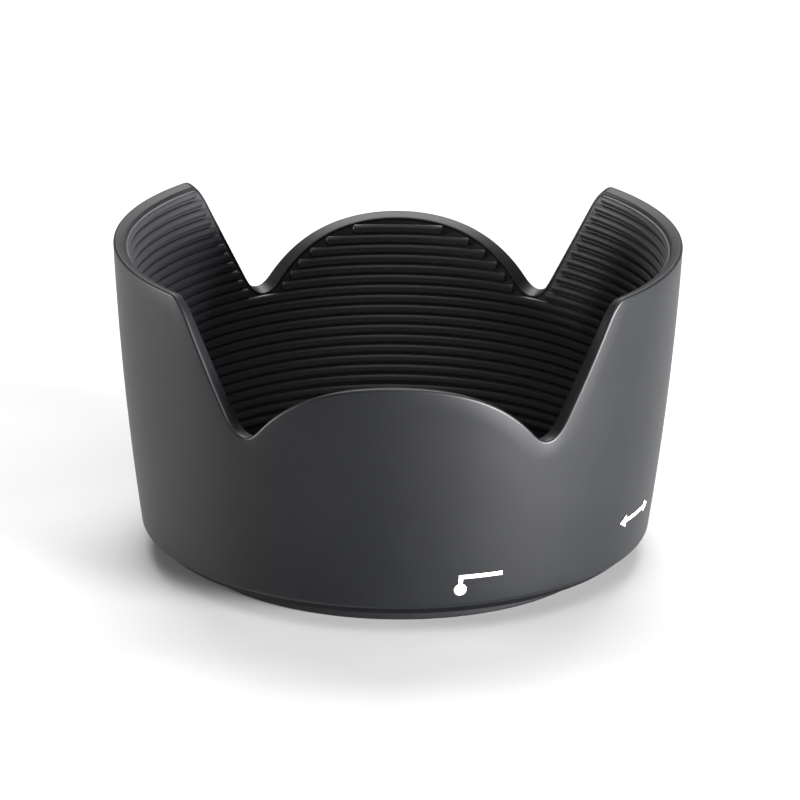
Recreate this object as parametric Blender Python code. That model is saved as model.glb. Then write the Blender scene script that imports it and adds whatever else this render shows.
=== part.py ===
"""Petal lens hood: a moulded shell, a ribbed liner, and a bayonet ring with two sprung click pawls.

The hood stands on the lens end of its bayonet ring. The optical axis is +Z, the front element looks
along +Z out of the petals, and the index mark is on the -Y side. The long petals are on the X axis.
"""

import math

import bpy

MM = 0.001

# Outer wall of the shell
HEIGHT = 55.15 * MM
RIM_RADIUS = 48.0 * MM
FOOT_RADIUS = 43.3 * MM
FOOT_Z = 5.29 * MM
WALL_BULGE = 0.58 * MM
SHELL_WALL = 1.0 * MM

# Inner wall, the face that the ribs stand on
INNER_RADIUS_AT_BASE = 39.51 * MM
INNER_TAPER = 0.1185
RIB_HEIGHT = 0.55 * MM

# Petal outline, drawn on the wall unrolled at this radius
UNROLLED_RADIUS = 46.5 * MM
SHORT_PETAL_TOP = 44.95 * MM
SHORT_PETAL_CURVE = 11.8
SHORT_PETAL_STEEPENING = 10500.0
FLANK_MID_ANGLE = math.radians(40.8)
FLANK_MID_Z = 42.95 * MM
FLANK_SLOPE = 1.92
NOTCH_BLEND = 10.0 * MM
TIP_BLEND = 2.6 * MM

# Rim of the shell, and the liner's edge below it
RIM_OUTER_ROUND = 0.4 * MM
RIM_INNER_ROUND = 0.6 * MM
RIM_LIP = 1.2 * MM
SEAM = 0.3 * MM

# Shell flange that turns in under the wall
FLANGE_BOTTOM = 3.3 * MM
FLANGE_TOP = 5.0 * MM
FLANGE_OUTER_RADIUS = 41.0 * MM
FOOT_ROUND = 0.4 * MM
FOOT_SLOPE = (FOOT_Z - FLANGE_BOTTOM) / (FOOT_RADIUS - FLANGE_OUTER_RADIUS)

# Bayonet ring: a collar that drops through the shell flange, and its own flange on top of that
COLLAR_INNER = 33.8 * MM
COLLAR_OUTER = 35.8 * MM
COLLAR_TOP = 6.9 * MM
RING_FLANGE_BOTTOM = 5.1 * MM
RING_FLANGE_TOP = 6.1 * MM
LUG_INNER = 32.7 * MM
LUG_BOTTOM = 1.0 * MM
LUG_TOP = 2.6 * MM
LUG_SPLIT = 0.03 * MM
LONG_LUG_HALF_ANGLE = 17.0
SHORT_LUG_HALF_ANGLE = 11.0
POCKET_HALF_ANGLE = 32.0

# Liner foot: the shelf that covers the ring and the click pockets, and the thin rim round its bore that
# stops the lens barrel
FOOT_BOTTOM = 7.1 * MM
FOOT_TOP = 7.9 * MM
FOOT_INNER = 32.7 * MM
STOP_RIM_OUTER = 33.5 * MM
STOP_RIM_BOTTOM = 7.0 * MM

# Screws that clamp the ring to the shell
SCREW_CIRCLE = 38.9 * MM
SCREW_HEAD_RADIUS = 1.5 * MM
SCREW_HEAD_HEIGHT = 0.6 * MM
SCREW_SHANK_RADIUS = 0.85 * MM
SCREW_TIP_Z = 3.9 * MM
SCREW_ANGLES = (45.0, 135.0, 225.0, 315.0)
RECESS_WIDTH = 0.45 * MM
RECESS_LENGTH = 1.7 * MM
RECESS_DEPTH = 0.35 * MM

# Click pawl, in plan along +X, and the straight leaf spring behind it
PAWL_NOSE_X = 33.2 * MM
PAWL_SHOULDER_X = 34.3 * MM
PAWL_BACK_X = 36.1 * MM
PAWL_REAR_X = 36.55 * MM
PAWL_NOSE_HALF = 1.0 * MM
PAWL_HALF = 2.5 * MM
PAWL_BACK_HALF = 3.8 * MM
PAWL_BOTTOM = 5.2 * MM
PAWL_TOP = 6.7 * MM
PAWL_CLEARANCE = 0.1 * MM
SLOT_FLOOR = 5.0 * MM
LEAF_X = 36.7 * MM
LEAF_THICK = 0.3 * MM
LEAF_HALF = 20.0 * MM
LEAF_TIP = 1.2 * MM
LEAF_CURL = 0.4 * MM
LEAF_BOTTOM = 5.3 * MM
LEAF_TOP = 6.6 * MM

# Paint-filled marks, drawn on the wall unrolled about their own middle
MARK_DEPTH = 0.4 * MM
MARK_THICK = 0.3 * MM
MARK_CLEARANCE = 0.15 * MM
MARK_LINE = 0.7 * MM
DOT_RADIUS = 1.05 * MM
INDEX_ANGLE = 14.4
INDEX_Z = 8.15 * MM
INDEX_STEM = 2.3 * MM
INDEX_ARM = 7.2 * MM
ARROW_ANGLE = 65.8
ARROW_Z = 12.75 * MM
ARROW_HALF_LENGTH = 5.8 * MM
ARROW_HEAD = 2.0 * MM
ARROW_HALF_HEIGHT = 1.1 * MM

# Room left between pieces that rest on or sit inside each other
GAP = 0.3 * MM
REST_GAP = 0.1 * MM

# Columns of the wall, in degrees from the middle of a short petal, for a quarter turn
QUARTER_ANGLES = (0, 5, 10, 15, 20, 25, 28, 30.5, 32, 33.2, 34.4, 36, 38, 42, 45.5, 47.2, 48.7, 50.4,
                  53, 57, 62, 67, 72, 76.5, 81, 85.5)


def clear_scene():
    """Start from an empty scene."""
    for obj in list(bpy.data.objects):
        bpy.data.objects.remove(obj, do_unlink=True)


def plastic(name, colour, roughness, metallic=0.0):
    """A Principled material for one sub-part."""
    material = bpy.data.materials.new(name)
    material.use_nodes = True
    shader = material.node_tree.nodes["Principled BSDF"]
    shader.inputs["Base Color"].default_value = (*colour, 1.0)
    shader.inputs["Roughness"].default_value = roughness
    shader.inputs["Metallic"].default_value = metallic
    return material


def new_object(name, verts, faces, material, origin=(0.0, 0.0, 0.0)):
    """A mesh object whose origin is at the given point, from vertices in world coordinates."""
    mesh = bpy.data.meshes.new(name)
    local = [tuple(v[i] - origin[i] for i in range(3)) for v in verts]
    mesh.from_pydata(local, [], faces)
    mesh.validate()
    obj = bpy.data.objects.new(name, mesh)
    obj.location = origin
    bpy.context.scene.collection.objects.link(obj)
    if material is not None:
        mesh.materials.append(material)
    return obj


def hide_cutter(obj):
    """Mark an object as a cutting tool."""
    obj.hide_render = True
    obj.display_type = "WIRE"


def boolean(obj, cutter, operation="DIFFERENCE"):
    """Cut an object with another one, or keep what they share."""
    modifier = obj.modifiers.new(cutter.name, "BOOLEAN")
    modifier.operation = operation
    modifier.object = cutter
    hide_cutter(cutter)


def smooth_round_faces(obj, sharp_angle=35.0):
    """Shade curved walls smooth and keep their edges crisp."""
    obj.data.shade_smooth()
    obj.data.set_sharp_from_angle(angle=math.radians(sharp_angle))


def outer_radius(z):
    """Radius of the shell's outside: a cone with a slight belly."""
    t = (z - FOOT_Z) / (HEIGHT - FOOT_Z)
    return FOOT_RADIUS + (RIM_RADIUS - FOOT_RADIUS) * t + WALL_BULGE * 4.0 * t * (1.0 - t)


def inner_radius(z):
    """Radius of the plain inner face, level with the rim's inner edge."""
    return INNER_RADIUS_AT_BASE + INNER_TAPER * z


def petal_top(angle):
    """Height of the rim at an angle, in radians, from the middle of a short petal."""
    folded = abs((angle + math.pi / 2) % math.pi - math.pi / 2)
    arc = UNROLLED_RADIUS * folded
    short_petal = SHORT_PETAL_TOP - SHORT_PETAL_CURVE * arc ** 2 - SHORT_PETAL_STEEPENING * arc ** 4
    flank = FLANK_MID_Z + FLANK_SLOPE * (arc - UNROLLED_RADIUS * FLANK_MID_ANGLE)
    notch = max(0.0, NOTCH_BLEND - abs(short_petal - flank))
    scallop = max(short_petal, flank) + notch ** 2 / (4.0 * NOTCH_BLEND)
    tip = max(0.0, TIP_BLEND - abs(scallop - HEIGHT))
    return min(scallop, HEIGHT) - tip ** 2 / (4.0 * TIP_BLEND)


def petal_inset(angle, inset, steps=12):
    """Height of the line that runs a constant distance inside the rim."""
    heights = []
    for i in range(-steps, steps + 1):
        across = inset * i / steps
        drop = math.sqrt(max(inset ** 2 - across ** 2, 0.0))
        heights.append(petal_top(angle + across / UNROLLED_RADIUS) - drop)
    return min(heights)


def wall_angles():
    """All columns of the shell and liner, in radians from +Y towards +X."""
    quarter = list(QUARTER_ANGLES)
    half = quarter + [180.0 - a for a in [90.0] + quarter[:0:-1]]
    return [math.radians(a) for a in half + [a + 180.0 for a in half]]


def around(angle, radius, z):
    """A point at an angle from +Y towards +X."""
    return (radius * math.sin(angle), radius * math.cos(angle), z)


def loop_of_sections(name, angles, section, material):
    """A closed ring: the same section, whose points may move with the angle, joined column to column.

    The section's points run around the material with the outside wall going up.
    """
    columns = [[around(a, r, z) for r, z in section(a)] for a in angles]
    size = len(columns[0])
    verts = [point for column in columns for point in column]
    faces = []
    for i in range(len(columns)):
        here = i * size
        there = ((i + 1) % len(columns)) * size
        for j in range(size):
            k = (j + 1) % size
            faces.append((here + j, here + k, there + k))
            faces.append((here + j, there + k, there + j))
    return new_object(name, verts, faces, material)


def even_steps(start, end, count):
    """Heights from start to end, both included."""
    return [start + (end - start) * i / (count - 1) for i in range(count)]


def shell_section(angle):
    """The shell: flange, foot chamfer, outer wall, rim lip and the rebate that holds the liner."""
    top = petal_top(angle)
    lip = petal_inset(angle, RIM_LIP)
    outer_start = petal_inset(angle, RIM_OUTER_ROUND)
    inner_start = petal_inset(angle, RIM_INNER_ROUND)
    points = [
        (COLLAR_OUTER + GAP, FLANGE_BOTTOM),
        (FLANGE_OUTER_RADIUS, FLANGE_BOTTOM),
        (FOOT_RADIUS - FOOT_ROUND, FOOT_Z - FOOT_ROUND * FOOT_SLOPE),
    ]
    points += [(outer_radius(z), z) for z in even_steps(FOOT_Z + FOOT_ROUND, outer_start, 4)]
    points += [
        (outer_radius(top) - RIM_OUTER_ROUND, top),
        (inner_radius(top) + RIM_INNER_ROUND, top),
        (inner_radius(inner_start), inner_start),
        (inner_radius(lip), lip),
    ]
    points += [(outer_radius(z) - SHELL_WALL, z) for z in even_steps(lip, FLANGE_TOP, 4)]
    points.append((COLLAR_OUTER + GAP, FLANGE_TOP))
    return points


def liner_section(angle):
    """The liner: a conical wall inside the rebate, with a shelf at the bottom that faces the lens."""
    edge = petal_inset(angle, RIM_LIP + SEAM)
    wall = SHELL_WALL + GAP
    points = [(outer_radius(z) - wall, z) for z in even_steps(FOOT_BOTTOM, edge, 4)]
    points += [(inner_radius(z) - RIB_HEIGHT / 2, z) for z in even_steps(edge, FOOT_TOP, 3)]
    points += [(FOOT_INNER, FOOT_TOP), (FOOT_INNER, STOP_RIM_BOTTOM)]
    points += [(STOP_RIM_OUTER, STOP_RIM_BOTTOM), (STOP_RIM_OUTER, FOOT_BOTTOM)]
    return points


def ring_section(angle):
    """The bayonet ring: a collar with a flange round it, and lugs inside where the angle has one."""
    degrees = math.degrees(angle)
    off_x_axis = abs(degrees % 180.0 - 90.0)
    off_y_axis = abs((degrees + 90.0) % 180.0 - 90.0)
    on_lug = off_x_axis < LONG_LUG_HALF_ANGLE or off_y_axis < SHORT_LUG_HALF_ANGLE
    lug = LUG_INNER if on_lug else COLLAR_INNER
    # Off a lug its corners lie in the bore, a little apart, so that no two points of a column meet
    split = 0.0 if on_lug else LUG_SPLIT
    flange_edge = outer_radius(RING_FLANGE_BOTTOM) - SHELL_WALL - GAP
    return [
        (COLLAR_INNER, 0.0),
        (COLLAR_OUTER, 0.0),
        (COLLAR_OUTER, RING_FLANGE_BOTTOM),
        (flange_edge, RING_FLANGE_BOTTOM),
        (flange_edge, RING_FLANGE_TOP),
        (COLLAR_OUTER, RING_FLANGE_TOP),
        (COLLAR_OUTER, COLLAR_TOP),
        (COLLAR_INNER, COLLAR_TOP),
        (COLLAR_INNER, LUG_TOP),
        (lug, LUG_TOP - split),
        (lug, LUG_BOTTOM + split),
        (COLLAR_INNER, LUG_BOTTOM),
    ]


def turned(name, profile, centre, material, segments=24):
    """A turned solid on a vertical axis, from a profile that runs from its bottom pole to its top pole."""
    verts = [(centre[0], centre[1], profile[0][1])]
    rings = profile[1:-1]
    for r, z in rings:
        for i in range(segments):
            a = 2 * math.pi * i / segments
            verts.append((centre[0] + r * math.cos(a), centre[1] + r * math.sin(a), z))
    verts.append((centre[0], centre[1], profile[-1][1]))
    last = len(verts) - 1
    faces = []
    for i in range(segments):
        j = (i + 1) % segments
        faces.append((0, 1 + j, 1 + i))
        faces.append((last, last - segments + i, last - segments + j))
        for row in range(len(rings) - 1):
            low = 1 + row * segments
            high = low + segments
            faces.append((low + i, low + j, high + j, high + i))
    return new_object(name, verts, faces, material)


def prism(name, outline, bottom, top, material=None, origin=(0.0, 0.0, 0.0)):
    """A flat outline in X and Y, running anticlockwise, given height along Z."""
    count = len(outline)
    verts = [(x, y, bottom) for x, y in outline] + [(x, y, top) for x, y in outline]
    faces = [tuple(range(count))[::-1], tuple(range(count, 2 * count))]
    for i in range(count):
        j = (i + 1) % count
        faces.append((i, j, count + j, count + i))
    return new_object(name, verts, faces, material, origin)


def turn_outline(outline, degrees):
    """An outline turned about the optical axis."""
    c = math.cos(math.radians(degrees))
    s = math.sin(math.radians(degrees))
    return [(c * x - s * y, s * x + c * y) for x, y in outline]


def rectangle(x_low, x_high, half_width):
    """A rectangle that is centred on the X axis."""
    return [(x_low, -half_width), (x_high, -half_width), (x_high, half_width), (x_low, half_width)]


def drill_screw_holes(obj, bottom, top):
    """Cut the four screw holes through an object, between two heights."""
    radius = SCREW_SHANK_RADIUS + REST_GAP
    profile = [(0.0, bottom), (radius, bottom), (radius, top), (0.0, top)]
    for number, degrees in enumerate(SCREW_ANGLES, 1):
        centre = around(math.radians(degrees), SCREW_CIRCLE, 0.0)
        boolean(obj, turned(f"{obj.name}_hole_{number}", profile, centre, None, 12))


def make_shell(material):
    """The outer moulding, with blind holes in its flange for the screws."""
    shell = loop_of_sections("petal_shell", wall_angles(), shell_section, material)
    drill_screw_holes(shell, SCREW_TIP_Z - REST_GAP, FLANGE_TOP + 1.0 * MM)
    return shell


def pocket_outline():
    """Where the ring's flange stops to make room for a pawl and its spring, around +X."""
    inner = COLLAR_OUTER + REST_GAP / 2
    outer = FOOT_RADIUS
    sweep = [math.radians(POCKET_HALF_ANGLE * i / 4) for i in range(-4, 5)]
    outside = [(outer * math.cos(a), outer * math.sin(a)) for a in sweep]
    inside = [(inner * math.cos(a), inner * math.sin(a)) for a in sweep[::-1]]
    return outside + inside


def make_ring(material):
    """The bayonet ring, with its screw holes, its click pockets and the slots that the pawls slide in."""
    step = 5.0
    angles = [math.radians(step * i + step / 2) for i in range(int(360 / step))]
    ring = loop_of_sections("mount_ring", angles, ring_section, material)
    drill_screw_holes(ring, RING_FLANGE_BOTTOM - 1.0 * MM, RING_FLANGE_TOP + 1.0 * MM)
    slot = rectangle(COLLAR_INNER - 2.0 * MM, COLLAR_OUTER + 2.0 * MM, PAWL_HALF + PAWL_CLEARANCE)
    for number, degrees in ((1, 0.0), (2, 180.0)):
        pocket = prism(f"click_pocket_{number}", turn_outline(pocket_outline(), degrees),
                       RING_FLANGE_BOTTOM - 0.5 * MM, RING_FLANGE_TOP + 0.5 * MM)
        boolean(ring, pocket)
        cutter = prism(f"pawl_slot_{number}", turn_outline(slot, degrees),
                       SLOT_FLOOR, COLLAR_TOP + 1.0 * MM)
        boolean(ring, cutter)
    return ring


def make_screw(number, degrees, material):
    """A small pan-head screw with a cross recess."""
    centre = around(math.radians(degrees), SCREW_CIRCLE, 0.0)
    head_bottom = RING_FLANGE_TOP + REST_GAP
    head_top = head_bottom + SCREW_HEAD_HEIGHT
    profile = [
        (0.0, SCREW_TIP_Z),
        (SCREW_SHANK_RADIUS * 0.6, SCREW_TIP_Z),
        (SCREW_SHANK_RADIUS, SCREW_TIP_Z + 0.4 * MM),
        (SCREW_SHANK_RADIUS, head_bottom),
        (SCREW_HEAD_RADIUS, head_bottom),
        (SCREW_HEAD_RADIUS, head_top - 0.3 * MM),
        (SCREW_HEAD_RADIUS * 0.72, head_top),
        (0.0, head_top),
    ]
    screw = turned(f"mount_screw_{number}", profile, centre, material, 16)
    for turn in (0.0, 90.0):
        slot = rectangle(-RECESS_LENGTH / 2, RECESS_LENGTH / 2, RECESS_WIDTH / 2)
        outline = [(x + centre[0], y + centre[1]) for x, y in turn_outline(slot, turn)]
        cutter = prism(f"recess_{number}_{int(turn)}", outline, head_top - RECESS_DEPTH,
                       head_top + 1.0 * MM)
        boolean(screw, cutter)
    return screw


def make_pawl(number, degrees, material):
    """A click pawl: a nose that stands into the bore, and a wide back that stops it falling in."""
    outline = [
        (PAWL_NOSE_X, -PAWL_NOSE_HALF),
        (PAWL_SHOULDER_X, -PAWL_HALF),
        (PAWL_BACK_X, -PAWL_HALF),
        (PAWL_BACK_X, -PAWL_BACK_HALF),
        (PAWL_REAR_X, -PAWL_BACK_HALF),
        (PAWL_REAR_X, PAWL_BACK_HALF),
        (PAWL_BACK_X, PAWL_BACK_HALF),
        (PAWL_BACK_X, PAWL_HALF),
        (PAWL_SHOULDER_X, PAWL_HALF),
        (PAWL_NOSE_X, PAWL_NOSE_HALF),
    ]
    side = math.cos(math.radians(degrees))
    origin = (side * (PAWL_NOSE_X + PAWL_REAR_X) / 2, 0.0, (PAWL_BOTTOM + PAWL_TOP) / 2)
    return prism(f"click_pawl_{number}", turn_outline(outline, degrees), PAWL_BOTTOM, PAWL_TOP,
                 material, origin)


def make_spring(number, degrees, material):
    """A straight leaf spring with turned-in tips, which pushes the pawl towards the bore."""
    bends = [
        (LEAF_X - LEAF_CURL, -LEAF_HALF),
        (LEAF_X, -LEAF_HALF + LEAF_TIP),
        (LEAF_X, LEAF_HALF - LEAF_TIP),
        (LEAF_X - LEAF_CURL, LEAF_HALF),
    ]
    outline = [(x + LEAF_THICK, y) for x, y in bends] + bends[::-1]
    return prism(f"click_spring_{number}", turn_outline(outline, degrees), LEAF_BOTTOM, LEAF_TOP,
                 material)


def mark_layer(name, inner_depth, outer_depth, material):
    """A thin sleeve just under the outside of the wall, which gives a mark its curved faces."""
    def section(_angle):
        heights = even_steps(FOOT_Z + GAP, 20.0 * MM, 4)
        outside = [(outer_radius(z) - outer_depth, z) for z in heights]
        inside = [(outer_radius(z) - inner_depth, z) for z in heights[::-1]]
        return outside + inside
    return loop_of_sections(name, wall_angles(), section, material)


def radial_prism(name, outline, degrees, height):
    """An outline drawn on the wall (arc to the right, height), pushed straight in towards the axis."""
    angle = math.radians(180.0 - degrees)
    out = around(angle, 1.0, 0.0)
    right = (-out[1], out[0], 0.0)
    verts = []
    for distance in (FOOT_RADIUS - 6.0 * MM, FOOT_RADIUS + 6.0 * MM):
        for across, up in outline:
            verts.append(tuple(out[i] * distance + right[i] * across for i in range(2))
                         + (height + up,))
    count = len(outline)
    faces = [tuple(range(count))[::-1], tuple(range(count, 2 * count))]
    for i in range(count):
        j = (i + 1) % count
        faces.append((i, j, count + j, count + i))
    return new_object(name, verts, faces, None)


def index_outline(grow):
    """A dot, a stem up from it and an arm to the right of the stem, running anticlockwise."""
    half = MARK_LINE / 2 + grow
    radius = DOT_RADIUS + grow
    start = math.asin(half / radius) + math.pi / 2
    sweep = 2 * math.pi - 2 * math.asin(half / radius)
    dot = [(radius * math.cos(start + sweep * i / 14), radius * math.sin(start + sweep * i / 14))
           for i in range(15)]
    return dot + [
        (half, INDEX_STEM - half),
        (INDEX_ARM + grow, INDEX_STEM - half),
        (INDEX_ARM + grow, INDEX_STEM + half),
        (-half, INDEX_STEM + half),
    ]


def arrow_outline(grow):
    """A plain arrow with a head at each end, running anticlockwise."""
    half = MARK_LINE / 2 + grow
    tip = ARROW_HALF_LENGTH + grow * 1.5
    base = ARROW_HALF_LENGTH - ARROW_HEAD - grow
    wing = ARROW_HALF_HEIGHT + grow * 1.5
    return [(-tip, 0.0), (-base, -wing), (-base, -half), (base, -half), (base, -wing),
            (tip, 0.0), (base, wing), (base, half), (-base, half), (-base, wing)]


def make_mark(name, outline, degrees, height, shell, material):
    """A mark of paint in a shallow recess in the shell."""
    floor_gap = MARK_DEPTH - MARK_THICK
    mark = mark_layer(name, MARK_DEPTH - floor_gap, 0.0, material)
    boolean(mark, radial_prism(f"{name}_shape", outline(0.0), degrees, height), "INTERSECT")
    recess = mark_layer(f"{name}_recess", MARK_DEPTH, -1.0 * MM, None)
    boolean(recess, radial_prism(f"{name}_grown", outline(MARK_CLEARANCE), degrees, height),
            "INTERSECT")
    boolean(shell, recess)
    return mark


def build():
    """Make every sub-part of the hood."""
    clear_scene()
    satin_black = plastic("moulded_black", (0.030, 0.030, 0.033), 0.42)
    matt_black = plastic("ribbed_black", (0.018, 0.018, 0.020), 0.75)
    ring_black = plastic("ring_black", (0.035, 0.035, 0.037), 0.5)
    pawl_white = plastic("acetal", (0.62, 0.61, 0.57), 0.45)
    steel = plastic("steel", (0.55, 0.55, 0.56), 0.3, 1.0)
    spring_steel = plastic("spring_steel", (0.60, 0.60, 0.58), 0.25, 1.0)
    paint = plastic("white_paint", (0.85, 0.85, 0.85), 0.5)

    shell = make_shell(satin_black)
    liner = loop_of_sections("ribbed_liner", wall_angles(), liner_section, matt_black)
    ring = make_ring(ring_black)
    for number, degrees in enumerate(SCREW_ANGLES, 1):
        smooth_round_faces(make_screw(number, degrees, steel))
    for number, degrees in ((1, 0.0), (2, 180.0)):
        make_pawl(number, degrees, pawl_white)
        make_spring(number, degrees, spring_steel)
    make_mark("index_mark", index_outline, INDEX_ANGLE, INDEX_Z, shell, paint)
    make_mark("turn_mark", arrow_outline, ARROW_ANGLE, ARROW_Z, shell, paint)
    for obj in (shell, liner, ring):
        smooth_round_faces(obj)


build()
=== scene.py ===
"""Petal lens hood, standing on the lens end of its bayonet ring, with its index mark to the front."""

import math

import bpy
from mathutils import Matrix, Vector


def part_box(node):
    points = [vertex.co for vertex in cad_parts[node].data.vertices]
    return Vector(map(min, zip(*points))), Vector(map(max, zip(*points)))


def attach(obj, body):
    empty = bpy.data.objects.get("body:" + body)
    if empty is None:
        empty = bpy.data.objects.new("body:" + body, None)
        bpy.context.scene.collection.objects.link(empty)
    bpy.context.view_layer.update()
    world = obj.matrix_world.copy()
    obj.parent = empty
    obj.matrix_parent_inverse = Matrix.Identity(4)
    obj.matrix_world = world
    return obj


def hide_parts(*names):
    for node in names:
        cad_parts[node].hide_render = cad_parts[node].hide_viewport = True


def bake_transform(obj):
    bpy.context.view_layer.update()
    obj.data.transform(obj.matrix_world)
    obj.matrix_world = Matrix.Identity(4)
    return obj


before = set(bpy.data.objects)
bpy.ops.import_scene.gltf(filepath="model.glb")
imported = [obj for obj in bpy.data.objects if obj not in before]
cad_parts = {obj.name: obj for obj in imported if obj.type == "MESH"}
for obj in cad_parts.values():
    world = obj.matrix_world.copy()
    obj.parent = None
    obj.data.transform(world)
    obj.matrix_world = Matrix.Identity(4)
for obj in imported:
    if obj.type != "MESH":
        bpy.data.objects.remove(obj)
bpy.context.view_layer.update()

MM = 0.001

# ---------------------------------------------------------------------------------------------
# Camera. A long lens a metre away looks down at about 20 degrees on the side that carries the
# index mark.

CAMERA_DISTANCE = 1012.6 * MM
CAMERA_ELEVATION = math.radians(19.61)
CAMERA_ROLL = math.radians(0.61)
CAMERA_LENS = 267.9
CAMERA_SENSOR_WIDTH = 36.0
AIM_HEIGHT = 26.85 * MM
AIM_RIGHT = 0.61 * MM
AIM_DOWN = 0.75 * MM

level_right = Vector((1.0, 0.0, 0.0))
level_up = Vector((0.0, math.sin(CAMERA_ELEVATION), math.cos(CAMERA_ELEVATION)))
backwards = level_right.cross(level_up)
eye = Vector((0.0, 0.0, AIM_HEIGHT)) + backwards * CAMERA_DISTANCE
target = Vector((0.0, 0.0, AIM_HEIGHT)) + level_right * AIM_RIGHT - level_up * AIM_DOWN
view_back = (eye - target).normalized()
view_right = level_up.cross(view_back).normalized()
view_up = view_back.cross(view_right)
rolled_right = view_right * math.cos(CAMERA_ROLL) + view_up * math.sin(CAMERA_ROLL)
rolled_up = view_up * math.cos(CAMERA_ROLL) - view_right * math.sin(CAMERA_ROLL)

camera_data = bpy.data.cameras.new("camera")
camera_data.lens = CAMERA_LENS
camera_data.sensor_width = CAMERA_SENSOR_WIDTH
camera = bpy.data.objects.new("camera", camera_data)
bpy.context.scene.collection.objects.link(camera)
camera.matrix_world = Matrix.Translation(eye) @ Matrix(
    (rolled_right, rolled_up, view_back)).transposed().to_4x4()
bpy.context.scene.camera = camera

# ---------------------------------------------------------------------------------------------
# Petal shell. One injection moulding in black polycarbonate: a slightly bellied cone with two
# long and two short petals, a rim that slopes inwards, and a foot that turns in under the wall to
# a flat flange. Its outside has the fine grain of a spark-eroded mould.

SHELL_LOW, SHELL_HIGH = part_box("petal_shell")
HEIGHT = SHELL_HIGH.z
FOOT_RADIUS = 43.3 * MM
FOOT_Z = 5.29 * MM
RIM_RADIUS = 48.0 * MM
WALL_BULGE = 0.58 * MM
SHELL_WALL = 1.0 * MM
WALL_ALLOWANCE = 1.1
WALL_START = FOOT_Z + 0.6 * MM
INNER_WALL_START = FOOT_Z + 1.0 * MM
WALL_COLUMNS = 720
WALL_ROWS = 14
INNER_WALL_ROWS = 6
ROUND_STEPS = 4
MERGE_DISTANCE = 0.001 * MM

FLANGE_TOP = 5.0 * MM
FLANGE_BORE = 36.1 * MM
FLANGE_EDGE = 41.0 * MM
FLANGE_BORE_ROUND = 0.15 * MM
FLANGE_EDGE_ROUND = 0.3 * MM
FOOT_ROUND = 0.9 * MM
INNER_RADIUS_AT_BASE = 39.51 * MM
INNER_TAPER = 0.1185

RIM_ROUND = 0.45 * MM
RIM_SLOPE_DROP = 0.75 * MM
RIM_INNER_ROUND = 0.3 * MM
RIM_LIP = 1.2 * MM
RIM_LIP_ROUND = 0.05 * MM
RIM_ZONE = 3.6 * MM

UNROLLED_RADIUS = 46.5 * MM
SHORT_PETAL_TOP = 44.95 * MM
SHORT_PETAL_CURVE = 11.8
SHORT_PETAL_STEEPENING = 10500.0
FLANK_MID_ANGLE = math.radians(40.8)
FLANK_MID_Z = 42.95 * MM
FLANK_SLOPE = 1.92
NOTCH_BLEND = 10.0 * MM
TIP_BLEND = 4.0 * MM


def outer_radius(z):
    """Radius of the shell's outside: a cone with a slight belly."""
    t = (z - FOOT_Z) / (HEIGHT - FOOT_Z)
    return FOOT_RADIUS + (RIM_RADIUS - FOOT_RADIUS) * t + WALL_BULGE * 4.0 * t * (1.0 - t)


def inner_radius(z):
    """Radius of the plain inner face, level with the rim's inner edge."""
    return INNER_RADIUS_AT_BASE + INNER_TAPER * z


def petal_top(angle):
    """Height of the rim at an angle, in radians, from the middle of a short petal."""
    folded = abs((angle + math.pi / 2) % math.pi - math.pi / 2)
    arc = UNROLLED_RADIUS * folded
    short_petal = SHORT_PETAL_TOP - SHORT_PETAL_CURVE * arc ** 2 - SHORT_PETAL_STEEPENING * arc ** 4
    flank = FLANK_MID_Z + FLANK_SLOPE * (arc - UNROLLED_RADIUS * FLANK_MID_ANGLE)
    notch = max(0.0, NOTCH_BLEND - abs(short_petal - flank))
    scallop = max(short_petal, flank) + notch ** 2 / (4.0 * NOTCH_BLEND)
    tip = max(0.0, TIP_BLEND - abs(scallop - HEIGHT))
    return min(scallop, HEIGHT) - tip ** 2 / (4.0 * TIP_BLEND)


def petal_inset(angle, inset, steps=14):
    """Height of the line that runs a constant distance inside the rim."""
    lowest = petal_top(angle)
    for i in range(-steps, steps + 1):
        across = inset * math.sin(math.pi / 2 * i / steps)
        drop = math.sqrt(max(inset ** 2 - across ** 2, 0.0))
        lowest = min(lowest, petal_top(angle + across / UNROLLED_RADIUS) - drop)
    return lowest


def rounded(corners):
    """A closed profile of (radius, height) points, from corners that each give their own rounding."""
    points = []
    for i, (r, z, rounding) in enumerate(corners):
        if rounding == 0.0:
            points.append((r, z))
            continue
        here = Vector((r, z))
        before = (Vector(corners[i - 1][:2]) - here).normalized()
        after = (Vector(corners[(i + 1) % len(corners)][:2]) - here).normalized()
        half = before.angle(after) / 2
        centre = here + (before + after).normalized() * (rounding / math.sin(half))
        start = here + before * (rounding / math.tan(half)) - centre
        end = here + after * (rounding / math.tan(half)) - centre
        sweep = start.angle_signed(end)
        for k in range(ROUND_STEPS + 1):
            c = math.cos(-sweep * k / ROUND_STEPS)
            s = math.sin(-sweep * k / ROUND_STEPS)
            points.append((centre.x + c * start.x - s * start.y, centre.y + s * start.x + c * start.y))
    return points


def heights(start, end, count):
    """Evenly spaced heights strictly between two heights."""
    return [start + (end - start) * i / (count + 1) for i in range(1, count + 1)]


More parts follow.
